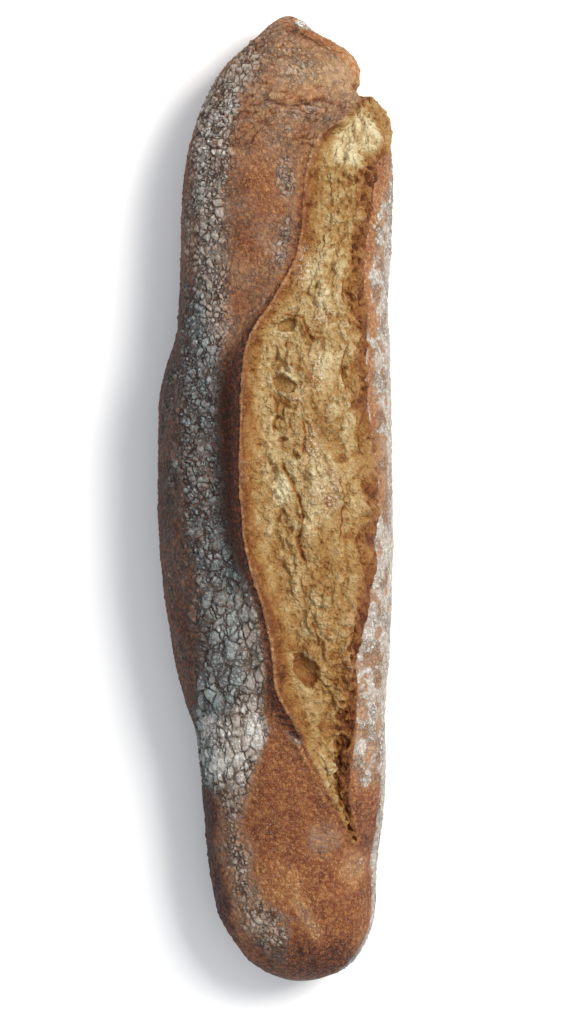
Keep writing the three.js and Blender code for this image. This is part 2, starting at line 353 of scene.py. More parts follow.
def plain_loaf():
    """The loaf's grid of points, and where each point is in terms of the slash."""
    y = stations()[:, None]
    ring = plain_rings(y)
    lip, edge = slash_angles(y)
    ragged = 1 + 0.12 * cloud(np.concatenate([y, 0 * y, 0 * y], -1), 9, 3, seed=3)[:, None]
    lift = np.maximum(0, curve(EAR_LIFT, y)) * ragged
    drop = np.maximum(0, curve(CRUMB_DROP, y))
    rise = curve(CRUMB_RISE, y)
    thickness = np.minimum(EAR_THICKNESS, ring.half / 12)

    def shares(count):
        return np.arange(count)[None, :] / count

    def arc(count, start, end):
        return plain_point(ring, mix(start, end, shares(count)))

    width = np.linalg.norm(plain_point(ring, edge) - plain_point(ring, lip), axis=-1)
    root = mix(lip, edge, np.minimum(EAR_ROOT_SHARE, EAR_ROOT / np.maximum(width, 1)))

    def crumb(share):
        return moved(ring, mix(edge, root, share), rise * np.sin(np.pi * share) - drop * share**2)

    def ear_wall(share):
        foot, top = crumb(np.ones((1, 1))), moved(ring, lip, lift, lift * EAR_LEAN - thickness)
        turn = moved(ring, mix(root, lip, EAR_HOLLOW), -drop)
        share = share[..., None]
        return mix(mix(foot, turn, share), mix(turn, top, share), share)

    def lip_edge(share):
        side = lift * EAR_LEAN - thickness * (1 + np.cos(np.pi * share)) / 2
        swell = thickness * 0.45 * np.sin(np.pi * share) * smoothstep(lift, 0, 1.5)
        return moved(ring, lip + 0 * share, lift + swell, side)

    def left_crust(share):
        angle = mix(lip, np.pi, share**CROWDING)
        away = (angle - lip) * ring.half / EAR_WIDTH
        raised = bell(away, 1)
        dipped = VALLEY_DEPTH * bell(away - 2, 1)
        return moved(ring, angle, lift * (raised - dipped), lift * EAR_LEAN * raised)

    under = math.radians(UNDERCUT_ANGLE)
    stretches = [
        arc(STRIPS.right_low, -np.pi / 2, under),
        arc(STRIPS.right_crust, under, edge),
        crumb(shares(STRIPS.crumb)),
        ear_wall(shares(STRIPS.ear_wall)),
        lip_edge(shares(STRIPS.lip)),
        left_crust(shares(STRIPS.left_crust)),
        arc(STRIPS.left_low, np.pi, 1.5 * np.pi),
    ]
    section = np.concatenate(stretches, axis=1)
    points = np.stack([section[..., 0], y + 0 * section[..., 0], section[..., 1]], -1)

    first_crumb = STRIPS.right_low + STRIPS.right_crust
    first_lip = first_crumb + STRIPS.crumb + STRIPS.ear_wall
    column = np.arange(section.shape[1])[None, :]
    inside = np.clip(y, SLASH_FOOT, SLASH_HEAD)
    return points, SimpleNamespace(
        y=y, lift=lift, lip_x=curve(LIP, inside), edge_x=curve(CRUMB_EDGE, inside),
        on_right=column < first_crumb, past_edge=column > first_crumb,
        on_left=column >= first_lip, across_lip=np.clip((column - first_lip) / STRIPS.lip, 0, 1),
    )


def normals_of(points):
    """Outward normals of a grid of points that closes on itself from side to side."""
    around = np.roll(points, -1, axis=1) - np.roll(points, 1, axis=1)
    along = np.gradient(points, axis=0)
    square = np.cross(along, around)
    return square / np.maximum(np.linalg.norm(square, axis=-1, keepdims=True), 1e-9)


# ---------------------------------------------------------------- what the oven did, and painted light and shade
# Where flour lies along the left flank, in plan: (y, x) of the band's two sides.
FLOUR_BAND_LEFT = [
    (-160, 4), (-152, -4), (-145, -8), (-133, -13.5), (-116, -17.5), (-98, -20), (-92, -26),
    (-77, -30), (-67, -26), (-50, -26), (-34, -26.8), (-17, -29), (0, -31), (33, -31.8),
    (56, -28.5), (82, -28.5), (115, -27.5), (131.5, -23.5), (145, -15), (160, 0),
]
FLOUR_BAND_RIGHT = [
    (-160, 6), (-152, 4), (-145, 5), (-137, 2), (-130, -5), (-116, -9), (-98, -10.5), (-83, -6.6),
    (-67, -4), (-50, -1.6), (-34, -4.5), (-22, -6.5), (-14, -9.5), (0, -12.2), (18, -15.4),
    (33, -19.5), (44, -18.4), (56, -17), (82, -16.9), (98, -17.9), (115, -16.5), (131.5, -12.6),
    (145, -4.6), (160, 4),
]
# How thickly it lies in the band: (y, cover), where cover runs from 0, bare, to 1, white.
FLOUR_BAND_COVER = [
    (-160, 0.1), (-152, 0.35), (-145, 0.54), (-133, 0.5), (-118, 0.54), (-104, 0.56), (-98, 0.6),
    (-88, 0.8), (-60, 0.7), (-20, 0.64), (0, 0.58), (20, 0.58), (50, 0.66), (80, 0.61), (105, 0.76),
    (125, 0.86), (145, 0.55), (160, 0.3),
]
# How thickly it lies elsewhere, as cover.
COVER = SimpleNamespace(
    haze_at_foot=0.08, haze_at_head=0.26, more_at_tip=0.1, more_on_flank=0.2, underneath=0.3,
    heavy=0.7, heavy_at_foot=0.52, patchy=0.2, more_from_edge=0.34, rim=0.85, seam=0.8,
)
RIGHT_THICKNESS = 0.79  # of whole flour on the right-hand side, which does not vary

# The outer face of the ear, painted nearly black as burnt crust and as shade on its steep face:
# (y, how far it reaches from the lip).
SCORCH_AND_SHADE_REACH = [
    (-160, 0), (-80, 0), (-74, 3), (-66, 3.6), (-58, 1.6), (-40, 1), (-26, 1.4),
    (-18, 3.4), (0, 4.4), (12, 5), (35, 4.6), (48, 2.4), (60, 1), (90, 0.6), (120, 0), (160, 0),
]

# How flour cracks: the sizes of its plates, and of the plates that those break up into.
FINE_PLATES = (2.5, 1.7)
LARGE_PLATES = (3.6, 2.4)
WHOLE_PLATES = 0.5  # the share of the larger plates that stay whole
CRACK_REACH = 0.36  # how far from a crack its dark edge fades out
HIDDEN_CRACK = 2.0  # a distance at which a crack has no effect
PLATE_SLOPE = 0.9  # how far from a crack its plate has risen to its full height
PLATE_HEIGHT, PLATE_HEIGHT_RIGHT = 0.7, 0.35  # of the flour's plates, left and right
ASLANT = np.array([[0.89, 0.3, 0], [-0.45, 0.6, 0], [0, 0, 1]])  # turns and draws out the plates

# Single patches of flour: (x, y), two radii, turn in degrees, cover.
FLOUR_PATCHES = [
    ((-9, 145), (8, 12), 35, 0.6), ((8.5, 156.5), (3.2, 2.0), -20, 0.9), ((4, 141), (11, 9), 0, 0.44),
    ((9.5, 127), (10, 4), 10, 0.45), ((2.5, 84), (3.4, 11), -8, 0.6), ((3, 105), (3, 9), 0, 0.5),
    ((-10, 50), (6, 14), 0, 0.4), ((6.5, -78), (2.6, 5.4), 30, 0.62), ((-18, -86), (8, 9.5), 0, 1),
    ((-7.5, -77), (4, 10), 0, 0.95), ((-22.5, -75), (4, 8), 0, 0.97), ((-4, -139), (9, 4.5), 15, 0.6),
    ((-25, 57), (5, 10), 0, 0.78), ((15, -112), (8, 7), 20, 0.34), ((10, -137), (2.5, 12), 35, 0.3),
    ((25, -120), (5, 7), 0, 0.28),
]

# How dark the crust is painted, from 0, pale, to 1, nearly black: its bake, with painted shade on
# the left flank and on the ear's outer face, and a painted highlight along the lip.
BAKE = SimpleNamespace(
    usual=0.57, less_to_head=0.1, less_at_head=0.14, more_on_flank=0.5, more_on_flank_at_head=0.3,
    right=0.34, dark_and_shaded=1.1, lip=0.05,
)
# Patches of the crust that are baked more or less than the rest: (x, y), two radii, turn in
# degrees, and how much more.
BAKE_PATCHES = [
    ((-13, 128), (6, 9), -20, 0.14), ((12, 150), (11, 4), -22, 0.12), ((15, 141), (13, 9), -10, -0.24),
    ((-12, 90), (8, 14), 0, 0.2), ((-9, 66), (6, 9), 0, 0.15), ((-20, 30), (5, 9), 0, 0.2),
    ((-15, 10), (5, 32), 0, 0.5), ((3, -127), (8, 8), 0, -0.14), ((10.5, -139), (3, 10), 27, -0.22),
    ((25, -122), (5, 6), 10, -0.26), ((8, -153), (26, 9), 0, 0.27), ((-20, -130), (5, 16), 14, 0.45),
    ((-23, -108), (4, 12), 4, 0.35), ((29, -100), (5, 14), 0, 0.12),
]
# How toasted the crumb is, from 0, cream, to 1, red-brown. All but the first are changes.
TOAST = SimpleNamespace(
    usual=0.2, golden=0.14, towards_head=0.06, towards_foot=0.1, near_foot=0.05,
    by_lip=0.38, on_lip=0.26, by_lip_at_foot=-0.15, by_edge=0.4, by_edge_at_head=0.06,
    upper_streak=0.12, lower_side=0.08, golden_side=0.07, pale_plate=-0.22, pale_head=-0.3,
)
PALE_PLATE = ((1.4, 3.8), (2.8, 6.2))  # a torn sheet of crumb: (x, y) and two radii
PALE_HEAD = ((25.5, 118), (7, 10))  # the crumb that came out last, over the shoulder

# Folds and furrows of the crust: their path, width and height, below 0 for furrows.
FOLDS = [
    ([(-6, 131), (4, 128.6), (12, 129.4), (17, 132)], 0.9, -0.7),
    ([(2, 126.5), (9, 125.6), (15, 128.4)], 0.7, -0.4),
    ([(5, 155.5), (13, 151), (23.5, 146.4)], 1.4, -0.7),
    ([(6.5, -80), (11, -88), (15.4, -96)], 0.9, 0.7),
    ([(4.5, -124), (10.5, -137), (15, -148)], 2.2, 0.6),
]

# Pits of the crumb: (x, y), two radii, turn in degrees, depth.
PITS = [
    ((5.3, 49), (1.9, 1.5), 0, 0.7), ((5, 30.6), (3, 2), -20, 0.9),
    ((-2.6, 34.6), (2.3, 3.2), 0, 0.9), ((21.8, 40.9), (1.2, 3.2), -8, 1.2),
    ((21.2, 58.7), (2.2, 1.6), -30, 0.7), ((24.2, 66), (1.2, 2), 40, 1.1),
    ((1, 26), (1.8, 0.9), 0, 0.8), ((2, 19), (2, 1.2), 10, 1.2),
    ((6, 13.6), (1.6, 1.1), 0, 1.2), ((21.6, 16.7), (0.9, 1.1), 0, 0.9),
    ((20.2, 12.7), (2.5, 2), -20, 0.8), ((7.7, -6.2), (1.4, 2), 0, 0.8),
    ((4.7, -10.2), (1.5, 1.4), 0, 1.1), ((20.3, -57.5), (3.6, 4.4), 0, 1.2),
    ((21, -70.7), (2.4, 2.6), 0, 1.4), ((21.4, -79.8), (3, 2.6), 0, 1.5),
    ((19.5, -86.5), (2, 2), 0, 1.4), ((18.7, -90.7), (1.3, 1.3), 0, 1.1),
    ((24, -101.8), (1.2, 2), 15, 0.9), ((23.7, -108.5), (1.3, 0.8), -15, 1.3),
    ((25, -111.5), (0.9, 0.9), 0, 1.4),
]
# Burst bubbles of the crumb, smooth inside a raised rim: (x, y), two radii, turn in degrees.
BUBBLES = [
    ((9.4, -56.2), (4.2, 6.6), 36), ((2.6, 37.4), (4.4, 2.8), -30), ((3.6, 56.4), (3.8, 2.4), 15),
]
BUBBLE_DEPTH = 0.45  # as a share of the smaller radius
BUBBLE_TONE = 0.24  # how toasted the smooth skin inside them is
# Ledges of the crumb, which falls away to the right of them: their path, from the head's end
# to the foot's, and their depth.
LEDGES = [
    ([(2.6, 9.5), (4.6, 5.8), (7.5, -0.8), (8.4, -5.8), (6.5, -13.3), (9.3, -19.9)], 1.3),
    ([(12.2, -40.9), (12.9, -46.8)], 0.8),
    ([(21.1, 71), (21.4, 64)], 0.8),
    ([(21.4, 48), (20.2, 41), (22.4, 35)], 1),
    ([(8.4, 24.5), (9.4, 20.5), (8.6, 16)], 0.7),
    ([(-1, 33), (0.2, 27), (-0.8, 22)], 0.8),
    ([(3.4, 60), (9, 58), (11, 52)], 0.9),
    ([(20.6, 5.6), (21.2, -3.4), (20, -12)], 0.7),
]
# Toasted ridges of the crumb: their path, width and height.
RIDGES = [
    ([(-1, 58), (3, 60.4), (7.6, 57.6), (9.4, 53.6)], 1, 0.7),
    ([(5.6, 43.4), (9, 41), (12.4, 37.4)], 1.3, 0.8),
    ([(9.6, 51), (12.6, 52.6), (15.4, 51.4)], 0.6, 0.4),
    ([(1.6, 32), (5.2, 33.6), (9, 30.4)], 0.7, 0.5),
    ([(4.2, -49.2), (8.4, -48.2), (12.6, -50.4), (14.4, -55.6)], 0.9, 0.8),
    ([(16.6, -74.6), (20.4, -75.4), (24, -74.6)], 0.5, 0.6),
    ([(16.6, -83), (20.6, -82.6), (24, -84)], 0.5, 0.6),
    ([(16, -88.4), (19.4, -88.8), (22, -88.2)], 0.4, 0.6),
]
# Glossy patches of the crumb, painted with wet-looking highlights: (x, y) and two radii.
PAINTED_GLINTS = [
    ((15, 61.5), (3.2, 6.5)), ((13.7, 42.5), (2.8, 7.5)), ((7.1, 34.2), (3.2, 3.6)),
    ((12, 17), (3, 7)), ((16, 2), (5, 8)), ((9, 75), (4, 8)),
]


def crumb_cover(grid):
    """1 on the opened crumb and the ear's inner side, 0 on the crust."""
    lip_passed = smoothstep(grid.across_lip, 0.15, 0.6)
    foot_open = smoothstep(grid.y, SLASH_FOOT - 1, SLASH_FOOT + 4)
    head_open = smoothstep(grid.y, SLASH_HEAD, SLASH_HEAD - 2)
    return grid.past_edge * (1 - lip_passed) * foot_open * head_open


def scorch_and_shade(x, y, points, grid):
    """1 on the outer face of the ear, painted nearly black: partly burnt crust and partly painted
    shade on its steep face. It holds no flour.
    """
    reach = curve(SCORCH_AND_SHADE_REACH, y) * (1 + 0.4 * cloud(points, 9, 3, seed=53))
    ragged = 0.8 * cloud(points, 1.8, 3, seed=56)
    beside = smoothstep(grid.lip_x - x + ragged, 1.7 * reach + 1, 0.4 * reach)
    return beside * smoothstep(reach, 0, 1) * grid.on_left


def flour_on_left(x, y, points, wander):
    """The band of flour down the left flank, and the haze over the rest of that side."""
    fade = mix(-4.5, -8, smoothstep(y, 30, 60))
    from_left = smoothstep(x - curve(FLOUR_BAND_LEFT, y) + 1.3 * wander, -6, 4.5)
    from_right = smoothstep(curve(FLOUR_BAND_RIGHT, y) - x + 1.3 * wander, fade, 3)
    band = from_left * from_right * curve(FLOUR_BAND_COVER, y)
    haze = mix(COVER.haze_at_foot, COVER.haze_at_head, smoothstep(y, -70, 60))
    haze += COVER.more_at_tip * smoothstep(y, 100, 130)
    haze += COVER.more_on_flank * smoothstep(x, -22, -31)
    return np.maximum(band, haze * (1 + 0.9 * cloud(points, 11, 3, seed=22)))


def flour_on_right(x, y, normals, wander, grid):
    """Flour beside the crumb, heavy from the middle to the foot, and on the rim below it."""
    from_edge = x - grid.edge_x + 0.5 * wander
    level = y + 2 * wander
    heavy = mix(COVER.heavy, COVER.heavy_at_foot, smoothstep(y, -42, -56))
    heavy = heavy * between(level, -96, -84, -14, 4) * smoothstep(from_edge, -0.8, 0.8)
    patchy = COVER.patchy + COVER.more_from_edge * smoothstep(from_edge, 1, 5.5)
    patchy = patchy * between(level, -100, -90, 98, 108)
    facing_out = smoothstep(normals[..., 2] + 0.03 * wander, 0.45, 0.3)
    rim = COVER.rim * facing_out * smoothstep(x + wander, 8, 20) * smoothstep(level, 124, 88)
    seam = COVER.seam * bell(x - grid.edge_x - 0.5, 0.5) * between(y, -24, -18, 52, 60)
    return np.maximum.reduce([heavy, patchy, rim, seam])


def flour_cover(x, y, points, normals, grid):
    """How thickly flour lies on the crust, from 0 to 1, before it cracks or flakes."""
    wander = 4.0 * cloud(points, 16, 5, seed=21)
    left = flour_on_left(x, y, points, wander)
    right = flour_on_right(x, y, normals, wander, grid)
    cover = np.where(grid.on_left, left, np.where(grid.on_right, right, 0))
    for middle, radii, turn, thickness in FLOUR_PATCHES:
        reach = oval(x, y, middle, radii, turn) + 0.25 * wander
        cover = np.maximum(cover, thickness * smoothstep(reach, 1.6, 0.3))
    facing_up = smoothstep(normals[..., 2] + 0.08 * wander, -0.1, 0.4)
    cover = cover * np.where(grid.on_left, mix(COVER.underneath, 1, facing_up), 1)
    return cover * (1 - scorch_and_shade(x, y, points, grid))


def crackle(points, sizes, seed):
    """Flour that has cracked, and some of whose plates have cracked again. Returns how far
    each point is from a crack, and a random shade for its plate."""
    _, inside, shade = cells(points, sizes[0], seed + 1)
    _, smaller, tint = cells(points, sizes[1], seed + 2)
    broken = shade > WHOLE_PLATES
    from_crack = inside * sizes[0]
    from_crack = np.where(broken, np.minimum(from_crack, smaller * sizes[1]), from_crack)
    return from_crack, np.where(broken, tint, shade)


def flour_cracks(points, y):
    """The crackle over the whole crust. Its plates are fine above the middle of the loaf, and
    large and drawn out aslant below it. Returns what crackle does."""
    pulled = points + 1.3 * clouds(points, 4, 3, seed=35)
    large = smoothstep(y + 6 * cloud(points, 20, 2, seed=34), -4, -14) * smoothstep(y, -108, -94)
    from_crack = np.full(large.shape, HIDDEN_CRACK)
    shade = np.zeros(large.shape)
    kinds = ((FINE_PLATES, 60, np.eye(3), 1 - large), (LARGE_PLATES, 70, ASLANT, large))
    for sizes, seed, turn, share in kinds:
        here = share > 0
        distance, tint = crackle(pulled[here] @ turn, sizes, seed)
        hidden = distance + CRACK_REACH * (1 - share[here]) ** 2
        from_crack[here] = np.minimum(from_crack[here], hidden)
        shade[here] += tint * share[here]
    return from_crack, shade


def porous_strip(x, y):
    """1 where small open pores lie along the crumb's right-hand side, near both its ends."""
    from_edge = curve(CRUMB_EDGE, np.clip(y, SLASH_FOOT, SLASH_HEAD)) - x
    above = between(y, 48, 60, 112, 122)
    below = between(y, -112, -104, -56, -44)
    return between(from_edge, 0.5, 1.5, 5, 9) * (above + below)


def crumb_texture(points, pull):
    """The torn crumb's random part: heights, and how much darker than usual it is painted.
    Creases, seams and pores are painted darker, partly as toast and partly as shade, and
    bulges paler, as painted light."""
    warped = points + 2.0 * pull
    rough = smoothstep(cloud(points, 13, 2, seed=50), -0.2, 0.3)
    swell = np.abs(cloud(warped, 12, 2, seed=46, stretch=(0.75, 1.6, 1)))
    froth = np.abs(cloud(warped, 3.6, 3, seed=49, stretch=(1.1, 0.9, 1)))
    fibres = cloud(warped, 1.4, 3, seed=47, stretch=(1.9, 0.5, 1))
    middle, _, chance = cells(warped, 2.4, 45)
    bubble = smoothstep(middle, 0.65, 0.15) * smoothstep(chance, 0.55, 1) * rough
    _, seam, lobe = cells(warped, 4.6, 57, stretch=(0.8, 1.25, 1))
    small, _, lone = cells(points + 0.8 * pull, 1.5, 55)
    pore = smoothstep(small, 0.6, 0.2) * smoothstep(lone, 0.3, 0.8)
    porous = porous_strip(points[..., 0], points[..., 1])
    hole = smoothstep(middle, 0.5, 0.25) * smoothstep(chance, 0.3, 0.5) * porous

    height = 3.6 * swell + mix(1.0, 1.9, rough) * froth + 0.34 * fibres
    height += mix(0.5, 1.1, rough) * smoothstep(seam, 0, 0.4)
    height -= 0.6 * bubble + 0.35 * pore + 0.6 * hole
    # tone: random toasting, with painted shade in creases, seams, pores and holes, and painted light
    # on bulges.
    tone = 0.1 * bell(swell, 0.06) + mix(0.04, 0.12, rough) * (bell(froth, 0.08) - 0.25)
    tone += mix(0.06, 0.16, rough) * bell(seam, 0.06) + 0.1 * (lobe - 0.5) - 0.3 * (swell - 0.15)
    tone += 0.12 * fibres + 0.18 * bubble + 0.16 * pore + 0.18 * hole - 0.05 * porous
    return height, tone


def crumb_relief(points):
    """The torn crumb with the pits, bubbles, ledges and ridges that stand where the lists
    above put them: heights, and how much darker than usual it is painted, as toast and as
    shade in its hollows."""
    pull = clouds(points, 7, 3, seed=41)
    height, tone = crumb_texture(points, pull)
    wobble = 0.3 * cloud(points, 2.2, 3, seed=48)
    x = points[..., 0] + 1.6 * pull[..., 0] + wobble
    y = points[..., 1] + 1.6 * pull[..., 1] - wobble
    for place, radii, turn, depth in PITS:
        reach = oval(x, y, place, radii, turn) + 1.6 * wobble
        height -= depth * smoothstep(reach, 1.1, 0.45)
        # Pits are painted darker inside, as shade, with a painted highlight on their rims.
        tone += 0.13 * depth * smoothstep(reach, 1.15, 0.6) - 0.12 * bell(reach - 1.25, 0.2)
    for place, radii, turn in BUBBLES:
        reach = oval(x, y, place, radii, turn) + 1.2 * wobble
        inside = smoothstep(reach, 1.0, 0.75)
        hollow = BUBBLE_DEPTH * min(radii) * (1 - np.minimum(reach, 1) ** 2)
        height = mix(height, 0.4 * height - hollow, inside) + 0.3 * bell(reach - 1.2, 0.25)
        # Inside, the skin is smooth, with a painted shade ring under the rim; the rim gets a painted
        # highlight.
        tone = mix(tone, BUBBLE_TONE + 0.15 * bell(reach - 0.85, 0.15), inside)
        tone -= 0.1 * bell(reach - 1.2, 0.15)
    for path, depth in LEDGES:
        distance, side = to_path(x, y, path)
        beyond = smoothstep(side * distance, -0.25, 0.25)
        height += depth * (0.5 * bell(distance, 2.5) * (1 - beyond) - bell(distance, 2.2) * beyond)
        # A painted shadow where the crumb falls away beyond the ledge.
        tone += 0.45 * bell(side * distance - 0.4, 0.5)
    for path, breadth, rise in RIDGES:
        crest = bell(to_path(x, y, path)[0] + wobble, breadth)
        height += rise * crest
        tone += 0.25 * crest
    return np.stack([height, tone], -1)


def bake(x, y, points, grid):
    """How dark the crust is painted, from 0, pale, to 1, nearly black: its bake, with painted
    shade on the left flank and on the ear's outer face, and a painted highlight along the lip.
    """
    dark = BAKE.usual + 0.16 * cloud(points, 22, 3, seed=51) + 0.16 * cloud(points, 4, 4, seed=52)
    dark -= BAKE.less_to_head * smoothstep(y, 60, 130) + BAKE.less_at_head * smoothstep(y, 118, 136)
    ragged = 0.4 * cloud(points, 8, 3, seed=54)
    for middle, radii, turn, change in BAKE_PATCHES:
        dark += change * smoothstep(oval(x, y, middle, radii, turn) + ragged, 1.4, 0.4)

    # The left flank is painted dark, partly as its bake and partly as shade on the side away from
    # the light, and the painted shade reaches up to the ear where the ear stands high.
    by_ear = between(y, -78, -62, 30, 60)
    dark_and_shaded_flank = smoothstep(x, mix(-14, -3, by_ear), mix(-27, -15, by_ear)) * smoothstep(y, -125, -95)
    more = mix(BAKE.more_on_flank, BAKE.more_on_flank_at_head, smoothstep(y, 60, 90))
    dark += more * np.maximum(dark_and_shaded_flank, smoothstep(x, -20, -32)) * grid.on_left

    dark = mix(dark, BAKE.right, 0.7 * grid.on_right * smoothstep(y, -110, -90))
    # The ear's outer face: burnt crust, with painted shade on its steep face.
    dark = mix(dark, BAKE.dark_and_shaded, scorch_and_shade(x, y, points, grid))
    # A paler line along the lip: a painted highlight where its edge catches the light.
    return mix(dark, BAKE.lip, 0.85 * bell(grid.across_lip - 0.6, 0.3) * smoothstep(grid.lift, 0.6, 2))


def toast_and_shade(x, y, points, grid, tone):
    """How dark the crumb is painted, from 0, cream, to 1, red-brown: its toasting, and tone, its
    relief's share, which also holds painted shade in hollows and painted light on bulges.
    """
    from_edge = grid.edge_x - x
    from_lip = x - grid.lip_x
    wander = cloud(points, 8, 4, seed=61)
    golden = smoothstep(cloud(points, 9, 3, seed=62), 0.0, 0.35)
    level = TOAST.usual + 0.12 * wander + TOAST.golden * golden + tone
    level += TOAST.towards_head * smoothstep(y, 80, 110)
    level += TOAST.towards_foot * smoothstep(y, 0, -45) + TOAST.near_foot * smoothstep(y, -60, -80)

    level += TOAST.by_lip * smoothstep(from_lip + 3 * wander, 7.0, 0.0) * smoothstep(y, -90, -70)
    level += TOAST.by_lip_at_foot * smoothstep(from_lip, 8, 4) * smoothstep(y, -66, -80)
    level += TOAST.on_lip * smoothstep(from_lip, 1.0, -0.4) * smoothstep(grid.lift, 1, 3)

    by_edge = mix(TOAST.by_edge, TOAST.by_edge_at_head, smoothstep(y, 108, 118))
    level += by_edge * smoothstep(from_edge + 3.0 * wander, 9.0, 0.5)
    upper = between(y, 52, 64, 112, 122)
    level += TOAST.upper_streak * upper * smoothstep(from_edge + 2.5 * wander, 6.5, 1.5)
    lower = smoothstep(y + 5 * wander, -46, -58) * smoothstep(y, -112, -100)
    level += TOAST.lower_side * lower * smoothstep(from_edge + 2.5 * wander, 11.5, 6.0)
    middle = between(y, -60, -30, 0, 30)
    level += TOAST.golden_side * middle * smoothstep(x + 4 * wander, 10, 18)

    level += TOAST.pale_plate * smoothstep(oval(x, y, *PALE_PLATE) + 0.4 * wander, 1.2, 0.8)
    return level + TOAST.pale_head * smoothstep(oval(x, y, *PALE_HEAD) + 0.4 * wander, 1.3, 0.6)


def settled_flour(points, cover, from_crack, shade, grain, grid):
    """How whole the flour is where it lies, from 0 to 1, and how thick it is with its powder.
    On the left it settles plate by plate, on the right it flakes off in jagged holes."""
    settled = smoothstep(cover + 0.16 * (shade - 0.5) + 0.3 * grain, 0.3, 0.52)
    flaked = smoothstep(cover + 0.9 * cloud(points, 5, 5, seed=14), 0.5, 0.56)
    whole = np.where(grid.on_right, flaked, settled)
    domed = mix(0.86, 1.08, smoothstep(from_crack, 0, PLATE_SLOPE))
    on_left = mix(0.2, 1, cover) * (0.86 + 0.26 * shade)
    on_left = on_left * mix(1, domed, grid.on_left * smoothstep(cover, 0.9, 0.75))
    thickness = np.where(grid.on_right, RIGHT_THICKNESS, on_left)
    powder = 0.5 * smoothstep(cover, 0.02, 0.5) * (0.8 + 0.6 * grain)
    return whole, np.clip(np.maximum(whole * thickness, powder), 0, 1)


def crust(x, y, points, normals, grid):
    """The crust's height over the plain loaf, and its fields for the material."""
    grain = cloud(points, 1.3, 3, seed=13)
    cover = flour_cover(x, y, points, normals, grid)
    from_crack, shade = flour_cracks(points, y)
    whole, flour = settled_flour(points, cover, from_crack, shade, grain, grid)

    leather = np.abs(cloud(points, 2.6, 3, seed=18))
    height = 0.2 * grain + 0.75 * leather * (1 - 0.6 * whole)
    plates = np.maximum(whole, 0.25) * smoothstep(from_crack, 0, PLATE_SLOPE)
    height += np.where(grid.on_right, PLATE_HEIGHT_RIGHT, PLATE_HEIGHT) * plates
    opened = mix(0.35, 1, smoothstep(cloud(points, 3.2, 3, seed=19), -0.4, 0.2))
    # How dark the cracks in the flour are painted: the crust showing through, and painted shade in
    # them.
    groove_tint_and_shade = smoothstep(cover, 0.15, 0.55) * mix(1, 0.28, smoothstep(cover, 0.86, 1)) * opened
    # dark is the bake, with painted shade in the valleys of the leathery relief.
    skin = SimpleNamespace(
        height=height, flour=flour, crack=from_crack, groove_tint_and_shade=groove_tint_and_shade * np.where(grid.on_right, 0.4, 1),
        dark=bake(x, y, points, grid) + 0.22 * bell(leather, 0.05) - 0.05,
    )
    fold(skin, x, y, points, grain, grid)
    wrinkle(skin, y, points)
    return skin


def fold(skin, x, y, points, grain, grid):
    """Adds the folds and furrows to the crust, and opens a crack along each furrow. Furrows are
    painted darker, as shade, and raised folds paler, as painted light.
    """
    wobble = 1.2 * cloud(points, 6, 3, seed=15)
    for path, breadth, rise in FOLDS:
        from_path = to_path(x, y, path)[0] + 0.6 * grain + wobble
        ridge = bell(from_path, breadth) * grid.on_left
        skin.height += rise * ridge
        skin.dark -= 0.2 * rise * ridge
        if rise < 0:
            skin.crack = np.where(grid.on_left, np.minimum(skin.crack, from_path), skin.crack)
            skin.groove_tint_and_shade = np.maximum(skin.groove_tint_and_shade, 0.6 * ridge)


def wrinkle(skin, y, points):
    """Adds fine wrinkles across the crust near the head. They hold little flour and are painted
    darker, as shade in them.
    """
    lines = bell(cloud(points, 6, 4, seed=16, stretch=(1.8, 0.6, 1)), 0.06)
    lines = lines * smoothstep(y, 90, 125) * smoothstep(cloud(points, 14, 2, seed=17), -0.3, 0.1)
    skin.height -= 0.4 * lines
    skin.dark += 0.3 * lines
    skin.flour = skin.flour * (1 - 0.7 * lines)


def opened_crumb(x, y, points, grid, torn):
    """The crumb's height over the plain loaf, its toasting with painted shade and light, and its
    gloss with painted glints. Its relief is worked out only where torn is true."""
    relief = np.zeros((*x.shape, 2))
    relief[torn] = crumb_relief(points[torn])
    height, tone = relief[..., 0], relief[..., 1]
    # The highest bulges get gloss and painted glints, as do the listed glint patches.
    gloss_and_painted_glint = 0.4 * smoothstep(height, 1.8, 3.0)
    for middle, radii in PAINTED_GLINTS:
        gloss_and_painted_glint = np.maximum(gloss_and_painted_glint, smoothstep(oval(x, y, middle, radii), 1.3, 0.4))
    return SimpleNamespace(height=height, dark=toast_and_shade(x, y, points, grid, tone), gloss_and_painted_glint=gloss_and_painted_glint)


def dress(points, grid):
    """Displaces the plain loaf and returns its points with the material's fields."""
    x, y = points[..., 0], points[..., 1]
    normals = normals_of(points)
    opened = crumb_cover(grid)
    outside = crust(x, y, points, normals, grid)
    inside = opened_crumb(x, y, points, grid, opened > 0)
    off_base = smoothstep(points[..., 2], 0.5, 7)
    off_tips = smoothstep(HALF_LENGTH - np.abs(y), 0, 4)
    lumps = 0.9 * cloud(points, 42, 2, seed=11) + 0.45 * cloud(points, 13, 3, seed=12)
    height = mix(lumps * off_base + outside.height, 0.6 * lumps + inside.height, opened)

    points = points + normals * (height * off_tips)[..., None]
    points[..., 2] = np.maximum(points[..., 2], 0)
    return points, {
        "crumb": opened,
        "bake": mix(outside.dark, inside.dark, opened),
        "flour": outside.flour * (1 - opened),
        "crack": outside.crack,
        "groove_tint_and_shade": outside.groove_tint_and_shade * (1 - opened),
        "gloss_and_painted_glint": inside.gloss_and_painted_glint * opened,
    }


